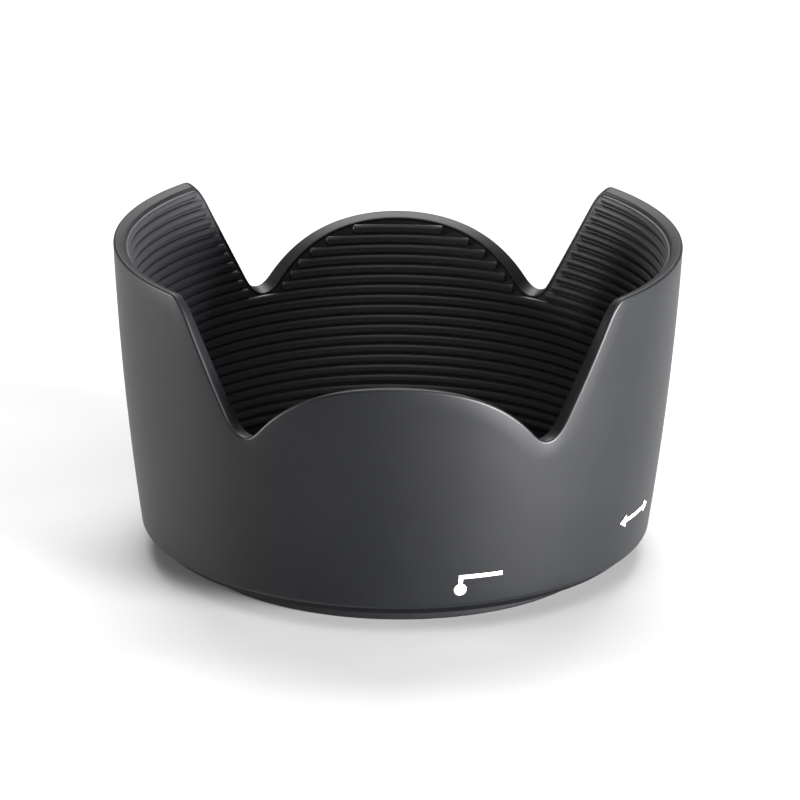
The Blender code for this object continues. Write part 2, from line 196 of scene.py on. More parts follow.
def turn_ring(name, profile, columns):
    """Draw a closed profile round the optical axis: a circle, extruded and resized point by point."""
    bpy.ops.object.select_all(action="DESELECT")
    bpy.ops.mesh.primitive_circle_add(vertices=columns, radius=profile[0][0],
                                      location=(0.0, 0.0, profile[0][1]))
    piece = bpy.context.object
    piece.name = name
    bpy.ops.object.transform_apply(location=True)
    bpy.ops.object.mode_set(mode="EDIT")
    bpy.ops.mesh.select_all(action="SELECT")
    for (r0, z0), (r1, z1) in zip(profile, profile[1:] + profile[:1]):
        bpy.ops.mesh.extrude_region_move(TRANSFORM_OT_translate={"value": (0.0, 0.0, z1 - z0)})
        bpy.ops.transform.resize(value=(r1 / r0, r1 / r0, 1.0), center_override=(0.0, 0.0, z1))
    bpy.ops.mesh.select_all(action="SELECT")
    bpy.ops.mesh.remove_doubles(threshold=MERGE_DISTANCE)
    bpy.ops.mesh.normals_make_consistent(inside=False)
    bpy.ops.object.mode_set(mode="OBJECT")
    return piece


def cut_petals(piece, wall_depth):
    """Slide a full-height ring's wall down along itself, so that its rim follows the petals.

    What lies within wall_depth of the shell's outside follows that; the rest follows the inside.
    """
    insets = {}
    for vertex in piece.data.vertices:
        x, y, z = vertex.co
        radius = math.hypot(x, y)
        if z <= WALL_START or radius < inner_radius(FOOT_Z):
            continue
        angle = math.atan2(x, y)
        depth = min(HEIGHT - z, RIM_ZONE)
        key = (round(angle, 5), round(depth, 7))
        if key not in insets:
            insets[key] = petal_inset(angle, depth)
        moved = insets[key]
        if HEIGHT - z > RIM_ZONE:
            moved = FOOT_Z + (z - FOOT_Z) * (moved - FOOT_Z) / (HEIGHT - RIM_ZONE - FOOT_Z)
        wall = outer_radius if radius > outer_radius(z) - wall_depth else inner_radius
        radius += wall(moved) - wall(z)
        vertex.co = (radius * math.sin(angle), radius * math.cos(angle), moved)


def cut_away(piece, cutters):
    """Take cutters out of a piece with exact Booleans, and delete the cutters."""
    bpy.context.view_layer.objects.active = piece
    for cutter in cutters:
        modifier = piece.modifiers.new(cutter.name, "BOOLEAN")
        modifier.operation = "DIFFERENCE"
        modifier.object = cutter
        bpy.ops.object.modifier_apply(modifier=modifier.name)
        bpy.data.objects.remove(cutter, do_unlink=True)


PIN_SIDES = 32


def add_pin(radius, bottom, top, angle, circle):
    """A round pin parallel to the axis, on a circle round it, at an angle from +Y."""
    bpy.ops.object.select_all(action="DESELECT")
    bpy.ops.mesh.primitive_cylinder_add(
        vertices=PIN_SIDES, radius=radius, depth=top - bottom,
        location=(circle * math.sin(angle), circle * math.cos(angle), (bottom + top) / 2))
    bpy.ops.object.transform_apply(location=True)
    return bpy.context.object


def add_cube(x_range, y_range, z_range):
    """A box between two limits on each axis."""
    limits = (x_range, y_range, z_range)
    bpy.ops.object.select_all(action="DESELECT")
    bpy.ops.mesh.primitive_cube_add(size=1.0, location=[(low + high) / 2 for low, high in limits])
    bpy.context.object.scale = [high - low for low, high in limits]
    bpy.ops.object.transform_apply(location=True, scale=True)
    return bpy.context.object


def colour(hex_code):
    """Linear RGBA from an sRGB hex code."""
    channels = [int(hex_code[i:i + 2], 16) / 255.0 for i in (1, 3, 5)]
    linear = [c / 12.92 if c <= 0.04045 else ((c + 0.055) / 1.055) ** 2.4 for c in channels]
    return (*linear, 1.0)


def add_node(material, kind, inputs=None, **settings):
    """Add a node with its settings; an input is given a value, or another node's output."""
    tree = material.node_tree
    node = tree.nodes.new(kind)
    for key, value in settings.items():
        setattr(node, key, value)
    for key, value in (inputs or {}).items():
        if isinstance(value, bpy.types.NodeSocket):
            tree.links.new(value, node.inputs[key])
        else:
            node.inputs[key].default_value = value
    return node


def new_material(name, **values):
    """A node material, with values set on its Principled shader's own sockets."""
    material = bpy.data.materials.new(name)
    material.use_nodes = True
    shader = material.node_tree.nodes["Principled BSDF"]
    for key, value in values.items():
        shader.inputs[key.replace("_", " ")].default_value = value
    return material, shader


RAMP_START = 0.35
RAMP_END = 0.65


def two_tones(material, fac, low_colour, high_colour):
    """A blend between two close tones, as a colour ramp over the middle of a pattern's range."""
    ramp = add_node(material, "ShaderNodeValToRGB", {"Fac": fac})
    ramp.color_ramp.elements[0].position = RAMP_START
    ramp.color_ramp.elements[1].position = RAMP_END
    ramp.color_ramp.elements[0].color = colour(low_colour)
    ramp.color_ramp.elements[1].color = colour(high_colour)
    return ramp.outputs["Color"]


def finish_piece(piece, material, body, nodes, smooth_angle=32.0):
    """Shade a piece, give it its material, and say which body and CAD nodes it stands for."""
    bpy.ops.object.select_all(action="DESELECT")
    piece.select_set(True)
    bpy.context.view_layer.objects.active = piece
    bpy.ops.object.shade_smooth_by_angle(angle=math.radians(smooth_angle))
    piece.data.materials.clear()
    piece.data.materials.append(material)
    if body:
        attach(piece, body)
    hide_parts(*nodes)


shell_corners = [
    (FLANGE_BORE, SHELL_LOW.z, FLANGE_BORE_ROUND),
    (FLANGE_EDGE, SHELL_LOW.z, FLANGE_EDGE_ROUND),
    (FOOT_RADIUS, FOOT_Z, FOOT_ROUND),
]
shell_corners += [(outer_radius(z), z, 0.0)
                  for z in heights(WALL_START, HEIGHT - RIM_ROUND, WALL_ROWS)]
shell_corners += [
    (RIM_RADIUS, HEIGHT, RIM_ROUND),
    (inner_radius(HEIGHT - RIM_SLOPE_DROP), HEIGHT - RIM_SLOPE_DROP, RIM_INNER_ROUND),
    (inner_radius(HEIGHT - RIM_LIP), HEIGHT - RIM_LIP, RIM_LIP_ROUND),
    (outer_radius(HEIGHT - RIM_LIP) - SHELL_WALL, HEIGHT - RIM_LIP, 0.0),
]
shell_corners += [(outer_radius(z) - SHELL_WALL, z, 0.0)
                  for z in heights(HEIGHT - RIM_LIP, INNER_WALL_START, INNER_WALL_ROWS)]
shell_corners += [
    (outer_radius(FLANGE_TOP) - SHELL_WALL, FLANGE_TOP, 0.0),
    (FLANGE_BORE, FLANGE_TOP, 0.0),
]
shell = turn_ring("hood_shell", rounded(shell_corners), WALL_COLUMNS)
cut_petals(shell, SHELL_WALL * WALL_ALLOWANCE)

# The screws' blind holes in the flange. A cutter stands past what it cuts by the margin.
CUT_MARGIN = 1.0 * MM
SCREW_CIRCLE = 38.9 * MM
SCREW_HOLE_RADIUS = 0.95 * MM
SCREW_HOLE_FLOOR = 3.8 * MM
SCREW_ANGLES = [math.radians(45.0 + 90.0 * i) for i in range(4)]
cut_away(shell, [add_pin(SCREW_HOLE_RADIUS, SCREW_HOLE_FLOOR, FLANGE_TOP + CUT_MARGIN, angle,
                         SCREW_CIRCLE) for angle in SCREW_ANGLES])

# Spark-eroded polycarbonate: blue-black with a satin face. On the foot its reflection is turned
# almost off, a painted shade that makes the foot as dark as the shade under the overhang. Its grain
# is about 0.1 mm on the real piece and is drawn at 0.3 mm, so that it shows.
SPARK_GRAIN = 0.3 * MM
SPARK_PATCH = 9.0 * MM
FOOT_FADE = 0.7 * MM
# Painted shade: the foot's specular level, nearly nothing, darkens it like the shade under the overhang.
FOOT_PAINTED_SHADE_SHINE = 0.02
WALL_SHINE = 0.26
shell_plastic, shader = new_material("spark_grained_polycarbonate", IOR=1.5)
place = add_node(shell_plastic, "ShaderNodeTexCoord").outputs["Object"]
grain = add_node(shell_plastic, "ShaderNodeTexNoise",
                 {"Vector": place, "Scale": 1.0 / SPARK_GRAIN, "Detail": 3.0}).outputs["Fac"]
patches = add_node(shell_plastic, "ShaderNodeTexNoise",
                   {"Vector": place, "Scale": 1.0 / SPARK_PATCH, "Detail": 2.0}).outputs["Fac"]
height = add_node(shell_plastic, "ShaderNodeSeparateXYZ", {"Vector": place}).outputs["Z"]
above_painted_foot_shade = add_node(shell_plastic, "ShaderNodeMapRange",
                      {"Value": height, "From Min": FOOT_Z - FOOT_FADE,
                       "From Max": FOOT_Z}).outputs["Result"]
# Painted shade on the foot: the specular level falls from the wall's to nearly nothing below FOOT_Z.
shine_with_painted_foot_shade = add_node(shell_plastic, "ShaderNodeMapRange",
                 {"Value": above_painted_foot_shade, "To Min": FOOT_PAINTED_SHADE_SHINE, "To Max": WALL_SHINE})
satin = add_node(shell_plastic, "ShaderNodeMapRange", {"Value": grain, "To Min": 0.43, "To Max": 0.49})
relief = add_node(shell_plastic, "ShaderNodeBump",
                  {"Height": grain, "Strength": 0.10, "Distance": 0.02 * MM})
links = shell_plastic.node_tree.links
links.new(two_tones(shell_plastic, patches, "#06070a", "#090a0d"), shader.inputs["Base Color"])
links.new(satin.outputs["Result"], shader.inputs["Roughness"])
links.new(shine_with_painted_foot_shade.outputs["Result"], shader.inputs["Specular IOR Level"])
links.new(relief.outputs["Normal"], shader.inputs["Normal"])

# ---------------------------------------------------------------------------------------------
# Index mark and turn mark. White paint that fills shallow recesses moulded in the wall: a dot
# with a hooked line, set against the mark on the lens, and a plain arrow with a head at each end
# that shows which way the hood turns.

MARK_LINE = 0.7 * MM
MARK_DEPTH = 0.3 * MM
PAINT_SUNK = 0.04 * MM
PAINT_CLEARANCE = 0.02 * MM
MARK_SLICE = 0.5 * MM
DOT_RADIUS = 1.05 * MM
DOT_SIDES = 40
INDEX_TURN = math.radians(14.4)
INDEX_Z = 8.15 * MM
INDEX_STEM = 2.3 * MM
INDEX_ARM = 7.2 * MM
ARROW_TURN = math.radians(65.83)
ARROW_Z = 12.75 * MM
ARROW_HALF_LENGTH = 5.8 * MM
ARROW_HEAD = 2.0 * MM
ARROW_HALF_HEIGHT = 1.1 * MM


def draw_index(grow, inner, outer):
    """The index mark, laid flat: a dot, a stem up from it and an arm to the right."""
    half = MARK_LINE / 2 + grow
    bpy.ops.object.select_all(action="DESELECT")
    bpy.ops.mesh.primitive_cylinder_add(vertices=DOT_SIDES, radius=DOT_RADIUS + grow, depth=inner - outer,
                                        location=(0.0, (inner + outer) / 2, 0.0),
                                        rotation=(math.pi / 2, 0.0, 0.0))
    bpy.ops.object.transform_apply(location=True, rotation=True)
    dot = bpy.context.object
    stem = add_cube((-half, half), (outer, inner), (0.0, INDEX_STEM + half))
    arm = add_cube((0.0, INDEX_ARM + grow), (outer, inner), (INDEX_STEM - half, INDEX_STEM + half))
    return [dot, stem, arm]


def draw_arrow(grow, inner, outer):
    """The turn mark, laid flat: a bar with a three-sided head at each end."""
    half = MARK_LINE / 2 + grow
    base = ARROW_HALF_LENGTH - ARROW_HEAD - grow
    shapes = [add_cube((-base - half, base + half), (outer, inner), (-half, half))]
    for side in (1.0, -1.0):
        bpy.ops.object.select_all(action="DESELECT")
        bpy.ops.mesh.primitive_cylinder_add(vertices=3, radius=1.0, depth=1.0)
        head = bpy.context.object
        for vertex in head.data.vertices:
            tip = vertex.co.y > 0.0
            x = ARROW_HALF_LENGTH + grow if tip else base
            wing = math.copysign(ARROW_HALF_HEIGHT + grow, vertex.co.x)
            vertex.co = (side * x, inner if vertex.co.z < 0.0 else outer, 0.0 if tip else wing)
        bpy.ops.object.mode_set(mode="EDIT")
        bpy.ops.mesh.select_all(action="SELECT")
        bpy.ops.mesh.normals_make_consistent(inside=False)
        bpy.ops.object.mode_set(mode="OBJECT")
        shapes.append(head)
    return shapes


def make_mark(name, draw, turn, middle_z, grow, inner, outer):
    """Join a flat mark's shapes into one solid, slice it, and wrap it round the wall."""
    mark, *others = draw(grow, inner, outer)
    mark.name = name
    bpy.context.view_layer.objects.active = mark
    for other in others:
        modifier = mark.modifiers.new("join", "BOOLEAN")
        modifier.operation = "UNION"
        modifier.object = other
        bpy.ops.object.modifier_apply(modifier=modifier.name)
        bpy.data.objects.remove(other, do_unlink=True)
    bpy.ops.object.mode_set(mode="EDIT")
    reach = math.ceil(INDEX_ARM / MARK_SLICE) + 1
    for i in range(-reach, reach):
        bpy.ops.mesh.select_all(action="SELECT")
        bpy.ops.mesh.bisect(plane_co=((i + 0.5) * MARK_SLICE, 0.0, 0.0), plane_no=(1.0, 0.0, 0.0))
    bpy.ops.object.mode_set(mode="OBJECT")
    for vertex in mark.data.vertices:
        across, depth, up = vertex.co
        radius = outer_radius(middle_z + up) - depth
        angle = turn + across / outer_radius(middle_z)
        vertex.co = (radius * math.sin(angle), -radius * math.cos(angle), middle_z + up)
    bpy.ops.object.mode_set(mode="EDIT")
    bpy.ops.mesh.select_all(action="SELECT")
    bpy.ops.mesh.normals_make_consistent(inside=False)
    bpy.ops.object.mode_set(mode="OBJECT")
    return mark


# Cellulose paint: a clean white with a low sheen, a little uneven where it was wiped in.
WIPE_MARKS = 0.8 * MM
mark_paint, shader = new_material("white_cellulose_paint", IOR=1.47)
place = add_node(mark_paint, "ShaderNodeTexCoord").outputs["Object"]
wipes = add_node(mark_paint, "ShaderNodeTexNoise",
                 {"Vector": place, "Scale": 1.0 / WIPE_MARKS, "Detail": 2.0}).outputs["Fac"]
gloss = add_node(mark_paint, "ShaderNodeMapRange", {"Value": wipes, "To Min": 0.45, "To Max": 0.65})
links = mark_paint.node_tree.links
links.new(two_tones(mark_paint, wipes, "#e4e4e2", "#f4f4f2"), shader.inputs["Base Color"])
links.new(gloss.outputs["Result"], shader.inputs["Roughness"])

for name, draw, turn, middle_z, node in (
        ("index_paint", draw_index, INDEX_TURN, INDEX_Z, "index_mark"),
        ("turn_arrow_paint", draw_arrow, ARROW_TURN, ARROW_Z, "turn_mark")):
    cut_away(shell, [make_mark("recess", draw, turn, middle_z, PAINT_CLEARANCE, MARK_DEPTH, -CUT_MARGIN)])
    paint = make_mark(name, draw, turn, middle_z, 0.0, MARK_DEPTH - PAINT_CLEARANCE, PAINT_SUNK)
    finish_piece(paint, mark_paint, "hood", [node])

finish_piece(shell, shell_plastic, "hood", ["petal_shell"])

# ---------------------------------------------------------------------------------------------
# Ribbed liner. A thin matt-black moulding pressed into the shell up to the lip of the rim. Fine
# round ribs run round its inside to break up stray light, and stop short of its edge; a shelf at
# the bottom meets the front of the lens.

LINER_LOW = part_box("ribbed_liner")[0]
LINER_EDGE = RIM_LIP + 0.05 * MM
LINER_SEAM = 0.06 * MM
LINER_ALLOWANCE = 1.05
LINER_OUTSIDE_ROWS = 6
LINER_INSIDE_ROWS = 9
SHELF_TOP = 7.9 * MM
SHELF_BOTTOM = 7.1 * MM
SHELF_BORE = 32.7 * MM
STOP_RIM_OUTER = 33.5 * MM
LOWEST_ROW = SHELF_TOP + 1.0 * MM
SHELF_ROUND = 0.25 * MM
STOP_ROUND = 0.1 * MM

liner_top = HEIGHT - LINER_EDGE
liner_outside = SHELL_WALL + LINER_SEAM
liner_corners = [(outer_radius(z) - liner_outside, z, 0.0)
                 for z in [SHELF_BOTTOM] + heights(SHELF_BOTTOM, liner_top, LINER_OUTSIDE_ROWS)
                 + [liner_top]]
liner_corners += [(inner_radius(z), z, 0.0)
                  for z in [liner_top] + heights(liner_top, LOWEST_ROW, LINER_INSIDE_ROWS)]
liner_corners += [
    (inner_radius(SHELF_TOP), SHELF_TOP, 0.0),
    (SHELF_BORE, SHELF_TOP, SHELF_ROUND),
    (SHELF_BORE, LINER_LOW.z, STOP_ROUND),
    (STOP_RIM_OUTER, LINER_LOW.z, 0.0),
    (STOP_RIM_OUTER, SHELF_BOTTOM, 0.0),
]
liner = turn_ring("hood_liner", rounded(liner_corners), WALL_COLUMNS)
cut_petals(liner, liner_outside * LINER_ALLOWANCE)

RIB_PITCH = 1.789 * MM
TOP_RIB_Z = 53.051 * MM
RIB_COUNT = 25
RIB_HEIGHT = 0.6 * MM
RIB_HALF_WIDTH = 0.8 * MM
RIB_ROOT = 0.12 * MM
RIB_STOP = 1.65 * MM
RIB_END = 0.5 * MM
RIB_STEP = math.radians(2.0)
RIB_END_STEPS = 5
RIB_END_RISE = 0.15
RIB_SIDES = 12
OUTLINE_STEPS = 1440
ANGLE_SLACK = 0.01


def rib_arcs(z):
    """The stretches of a rib, as (start, end) angles from +Y, where the wall is high enough for it."""
    step = 2 * math.pi / OUTLINE_STEPS
    high = [petal_inset(i * step, RIB_STOP, steps=8) > z for i in range(OUTLINE_STEPS)]
    if all(high):
        return [(0.0, 2 * math.pi)]
    arcs = []
    for i in range(OUTLINE_STEPS):
        if high[i] and not high[i - 1]:
            j = i
            while high[(j + 1) % OUTLINE_STEPS]:
                j += 1
            arcs.append((i * step, j * step))
    return arcs


def add_rib(z, start, end):
    """A round bead, spun round the axis from a small ellipse, with rounded ends."""
    wall = inner_radius(z)
    whole_turn = end - start > 2 * math.pi - ANGLE_SLACK
    bpy.ops.object.select_all(action="DESELECT")
    bpy.ops.mesh.primitive_circle_add(vertices=RIB_SIDES, radius=1.0, rotation=(math.pi / 2, 0.0, 0.0),
                                      fill_type="NOTHING" if whole_turn else "NGON")
    bead = bpy.context.object
    bpy.ops.object.transform_apply(rotation=True)
    for vertex in bead.data.vertices:
        radius = wall + min(vertex.co.x * RIB_HEIGHT, RIB_ROOT)
        height = z + vertex.co.z * RIB_HALF_WIDTH
        vertex.co = (radius * math.sin(start), radius * math.cos(start), height)
    end_sweep = RIB_END / wall
    if whole_turn:
        sweeps = [(end - start, round((end - start) / RIB_STEP))]
    else:
        middle = end - start - 2 * end_sweep
        steps = max(2, round(middle / RIB_STEP))
        sweeps = [(end_sweep, RIB_END_STEPS), (middle, steps), (end_sweep, RIB_END_STEPS)]
    bpy.ops.object.mode_set(mode="EDIT")
    bpy.ops.mesh.select_all(action="SELECT")
    for sweep, steps in sweeps:
        bpy.ops.mesh.spin(steps=steps, angle=sweep, center=(0.0, 0.0, 0.0), axis=(0.0, 0.0, 1.0))
    bpy.ops.mesh.select_all(action="SELECT")
    bpy.ops.mesh.remove_doubles(threshold=MERGE_DISTANCE)
    bpy.ops.mesh.normals_make_consistent(inside=False)
    bpy.ops.object.mode_set(mode="OBJECT")
    if whole_turn:
        return bead
    for vertex in bead.data.vertices:
        x, y, height = vertex.co
        angle = math.atan2(x, y)
        along = (angle - start + ANGLE_SLACK) % (2 * math.pi) - ANGLE_SLACK
        left = min(along, end - start - along) / end_sweep
        rise = max(RIB_END_RISE, math.sqrt(max(0.0, 1.0 - (1.0 - min(left, 1.0)) ** 2)))
        radius = wall + (math.hypot(x, y) - wall) * rise
        vertex.co = (radius * math.sin(angle), radius * math.cos(angle), z + (height - z) * rise)
    return bead


ribs = []
for i in range(RIB_COUNT):
    rib_z = TOP_RIB_Z - i * RIB_PITCH
    for arc_start, arc_end in rib_arcs(rib_z):
        if (arc_end - arc_start) * inner_radius(rib_z) > 3 * RIB_END:
            ribs.append(add_rib(rib_z, arc_start, arc_end))
bpy.ops.object.select_all(action="DESELECT")
for rib in ribs:
    rib.select_set(True)
liner.select_set(True)
bpy.context.view_layer.objects.active = liner
bpy.ops.object.join()

# Matt ABS: near-black, with a dry and slightly powdery face that still lifts on the crests of
# the ribs. Its texture is about 0.1 mm, drawn at 0.25 mm so that it shows.
MATT_GRAIN = 0.25 * MM
liner_plastic, shader = new_material("matt_abs", IOR=1.5, Specular_IOR_Level=0.5)
place = add_node(liner_plastic, "ShaderNodeTexCoord").outputs["Object"]
grain = add_node(liner_plastic, "ShaderNodeTexNoise",
                 {"Vector": place, "Scale": 1.0 / MATT_GRAIN, "Detail": 4.0}).outputs["Fac"]
gloss = add_node(liner_plastic, "ShaderNodeMapRange", {"Value": grain, "To Min": 0.48, "To Max": 0.56})
relief = add_node(liner_plastic, "ShaderNodeBump",
                  {"Height": grain, "Strength": 0.08, "Distance": 0.02 * MM})
links = liner_plastic.node_tree.links
links.new(two_tones(liner_plastic, grain, "#101015", "#16161b"), shader.inputs["Base Color"])
links.new(gloss.outputs["Result"], shader.inputs["Roughness"])
links.new(relief.outputs["Normal"], shader.inputs["Normal"])
finish_piece(liner, liner_plastic, "hood", ["ribbed_liner"])

# ---------------------------------------------------------------------------------------------
# Bayonet ring. A glass-filled polyamide moulding: a collar with a flange round it, four lugs
# inside, and two pockets for the click stops. Four screws clamp its flange to the shell's.

RING_LOW, RING_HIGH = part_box("mount_ring")
COLLAR_BORE = 33.8 * MM
COLLAR_OUTER = 35.8 * MM
RING_COLUMNS = 360
RING_SEAM = 0.3 * MM
RING_FLANGE_BOTTOM = 5.1 * MM
RING_FLANGE_TOP = 6.1 * MM
LUG_BORE = 32.7 * MM
LUG_BOTTOM = 1.0 * MM
LUG_TOP = 2.6 * MM
LUG_ROOT = 0.2 * MM
LUG_BEVEL = 0.15 * MM
LONG_LUG_HALF_ANGLE = math.radians(17.0)
SHORT_LUG_HALF_ANGLE = math.radians(11.0)
POCKET_HALF_ANGLE = math.radians(32.0)
POCKET_GAP = 0.05 * MM
BLOCK_STEPS = 24
BEVEL_SEGMENTS = 3
PAWL_SLOT_HALF = 2.6 * MM
PAWL_SLOT_FLOOR = 5.0 * MM

ring_edge = outer_radius(RING_FLANGE_BOTTOM) - SHELL_WALL - RING_SEAM
ring_corners = [
    (COLLAR_BORE, RING_LOW.z, 0.3 * MM),
    (COLLAR_OUTER, RING_LOW.z, 0.45 * MM),
    (COLLAR_OUTER, RING_FLANGE_BOTTOM, 0.0),
    (ring_edge, RING_FLANGE_BOTTOM, 0.1 * MM),
    (ring_edge, RING_FLANGE_TOP, 0.2 * MM),
    (COLLAR_OUTER, RING_FLANGE_TOP, 0.0),
    (COLLAR_OUTER, RING_HIGH.z, 0.15 * MM),
    (COLLAR_BORE, RING_HIGH.z, 0.2 * MM),
]
ring = turn_ring("bayonet_ring", rounded(ring_corners), RING_COLUMNS)


def arc_block(inner, outer, bottom, top, middle, half_angle, bevel=0.0):
    """A block that follows the ring between two angles, spun from an upright rectangle."""
    bpy.ops.object.select_all(action="DESELECT")
    bpy.ops.mesh.primitive_plane_add(size=1.0, rotation=(math.pi / 2, 0.0, 0.0))
    block = bpy.context.object
    bpy.ops.object.transform_apply(rotation=True)
    start = middle - half_angle
    for vertex in block.data.vertices:
        radius = (inner + outer) / 2 + vertex.co.x * (outer - inner)
        height = (bottom + top) / 2 + vertex.co.z * (top - bottom)
        vertex.co = (radius * math.sin(start), radius * math.cos(start), height)
    bpy.ops.object.mode_set(mode="EDIT")
    bpy.ops.mesh.select_all(action="SELECT")
    bpy.ops.mesh.spin(steps=BLOCK_STEPS, angle=2 * half_angle, center=(0.0, 0.0, 0.0),
                      axis=(0.0, 0.0, 1.0))
    bpy.ops.mesh.select_all(action="SELECT")
    bpy.ops.mesh.normals_make_consistent(inside=False)
    if bevel:
        bpy.ops.mesh.select_all(action="DESELECT")
        bpy.ops.mesh.edges_select_sharp(sharpness=math.radians(60.0))
        bpy.ops.mesh.bevel(offset=bevel, segments=BEVEL_SEGMENTS, affect="EDGES")
    bpy.ops.object.mode_set(mode="OBJECT")
    return block


cutters = [add_pin(SCREW_HOLE_RADIUS, RING_FLANGE_BOTTOM - CUT_MARGIN, RING_FLANGE_TOP + CUT_MARGIN,
                   angle, SCREW_CIRCLE) for angle in SCREW_ANGLES]
for side in (1.0, -1.0):
    cutters.append(arc_block(COLLAR_OUTER + POCKET_GAP, FOOT_RADIUS, RING_FLANGE_BOTTOM - CUT_MARGIN / 2,
                             RING_FLANGE_TOP + CUT_MARGIN / 2, side * math.pi / 2, POCKET_HALF_ANGLE))
    slot_ends = sorted((side * (COLLAR_BORE - 2 * CUT_MARGIN), side * (COLLAR_OUTER + 2 * CUT_MARGIN)))
    cutters.append(add_cube(slot_ends, (-PAWL_SLOT_HALF, PAWL_SLOT_HALF),
                            (PAWL_SLOT_FLOOR, RING_HIGH.z + CUT_MARGIN)))
cut_away(ring, cutters)

lugs = []
for i, half_angle in enumerate((SHORT_LUG_HALF_ANGLE, LONG_LUG_HALF_ANGLE) * 2):
    lugs.append(arc_block(LUG_BORE, COLLAR_BORE + LUG_ROOT, LUG_BOTTOM, LUG_TOP, math.pi / 2 * i,
                          half_angle, LUG_BEVEL))
bpy.ops.object.select_all(action="DESELECT")
for lug in lugs:
    lug.select_set(True)
ring.select_set(True)
bpy.context.view_layer.objects.active = ring
bpy.ops.object.join()

# Glass-filled polyamide: black, smooth from a polished mould, with the faint streaks of the
# glass. The fibres are 0.3 mm long and 0.01 mm thick, drawn as streaks 0.8 mm long and 0.2 mm
# high so that they show.
STREAK_LENGTH = 0.8 * MM
STREAK_HEIGHT = 0.2 * MM
ring_plastic, shader = new_material("glass_filled_polyamide", IOR=1.53, Specular_IOR_Level=0.2)
place = add_node(ring_plastic, "ShaderNodeTexCoord").outputs["Object"]
stretched = add_node(ring_plastic, "ShaderNodeMapping",
                     {"Vector": place, "Scale": (1.0, 1.0, STREAK_LENGTH / STREAK_HEIGHT)})
streaks = add_node(ring_plastic, "ShaderNodeTexNoise",
                   {"Vector": stretched.outputs["Vector"], "Scale": 1.0 / STREAK_LENGTH,
                    "Detail": 3.0}).outputs["Fac"]
gloss = add_node(ring_plastic, "ShaderNodeMapRange", {"Value": streaks, "To Min": 0.32, "To Max": 0.44})
relief = add_node(ring_plastic, "ShaderNodeBump",
                  {"Height": streaks, "Strength": 0.08, "Distance": 0.01 * MM})
links = ring_plastic.node_tree.links
links.new(two_tones(ring_plastic, streaks, "#121214", "#18181a"), shader.inputs["Base Color"])
links.new(gloss.outputs["Result"], shader.inputs["Roughness"])
links.new(relief.outputs["Normal"], shader.inputs["Normal"])
finish_piece(ring, ring_plastic, "hood", ["mount_ring"])

# ---------------------------------------------------------------------------------------------
# Four small thread-forming screws clamp the ring to the shell. They are cold-headed steel with a
# nickel plate, a low pan head and a cross recess. The rolled thread is drawn as plain rings.

SCREW_HEAD_RADIUS = 1.5 * MM
SCREW_HEAD_BOTTOM = 6.2 * MM
SCREW_HEAD_TOP = 6.8 * MM
SCREW_HEAD_ROUND = 0.35 * MM
SCREW_HEAD_ROUND_STEPS = 4
SCREW_SHANK = 0.85 * MM
SCREW_ROOT = 0.66 * MM
SCREW_POINT = 0.7 * SCREW_ROOT
SCREW_TIP_Z = 3.9 * MM
THREAD_PITCH = 0.4 * MM
RECESS_LENGTH = 1.7 * MM
RECESS_WIDTH = 0.45 * MM
RECESS_DEPTH = 0.35 * MM

screw = add_pin(SCREW_HEAD_RADIUS, SCREW_HEAD_BOTTOM, SCREW_HEAD_TOP, 0.0, SCREW_CIRCLE)
screw_axis = (0.0, SCREW_CIRCLE, 0.0)
bpy.ops.object.mode_set(mode="EDIT")
bpy.ops.mesh.select_all(action="DESELECT")
bpy.ops.mesh.select_mode(type="FACE")
bpy.ops.object.mode_set(mode="OBJECT")
for face in screw.data.polygons:
    face.select = face.normal.z < -0.9
bpy.ops.object.mode_set(mode="EDIT")
bpy.ops.mesh.inset(thickness=SCREW_HEAD_RADIUS - SCREW_SHANK)
thread_steps = round((SCREW_HEAD_BOTTOM - SCREW_TIP_Z) / (THREAD_PITCH / 2))
drop = (SCREW_HEAD_BOTTOM - SCREW_TIP_Z) / thread_steps
radius = SCREW_SHANK
for i in range(thread_steps):
    bpy.ops.mesh.extrude_region_move(TRANSFORM_OT_translate={"value": (0.0, 0.0, -drop)})
    wanted = SCREW_ROOT if i % 2 == 0 else SCREW_SHANK
    if i == thread_steps - 1:
        wanted = SCREW_POINT
    bpy.ops.transform.resize(value=(wanted / radius, wanted / radius, 1.0), center_override=screw_axis)
    radius = wanted
bpy.ops.mesh.select_mode(type="EDGE")
bpy.ops.mesh.select_all(action="DESELECT")
bpy.ops.object.mode_set(mode="OBJECT")
for edge in screw.data.edges:
    ends = [screw.data.vertices[v].co for v in edge.vertices]
    edge.select = all(point.z > SCREW_HEAD_TOP - 0.01 * MM for point in ends)
bpy.ops.object.mode_set(mode="EDIT")
bpy.ops.mesh.bevel(offset=SCREW_HEAD_ROUND, segments=SCREW_HEAD_ROUND_STEPS, affect="EDGES")
bpy.ops.mesh.select_mode(type="VERT")
bpy.ops.object.mode_set(mode="OBJECT")
bars = []
for size_x, size_y in ((RECESS_LENGTH, RECESS_WIDTH), (RECESS_WIDTH, RECESS_LENGTH)):
    bars.append(add_cube((-size_x / 2, size_x / 2),
                         (SCREW_CIRCLE - size_y / 2, SCREW_CIRCLE + size_y / 2),
                         (SCREW_HEAD_TOP - RECESS_DEPTH, SCREW_HEAD_TOP + CUT_MARGIN)))
cut_away(screw, bars)

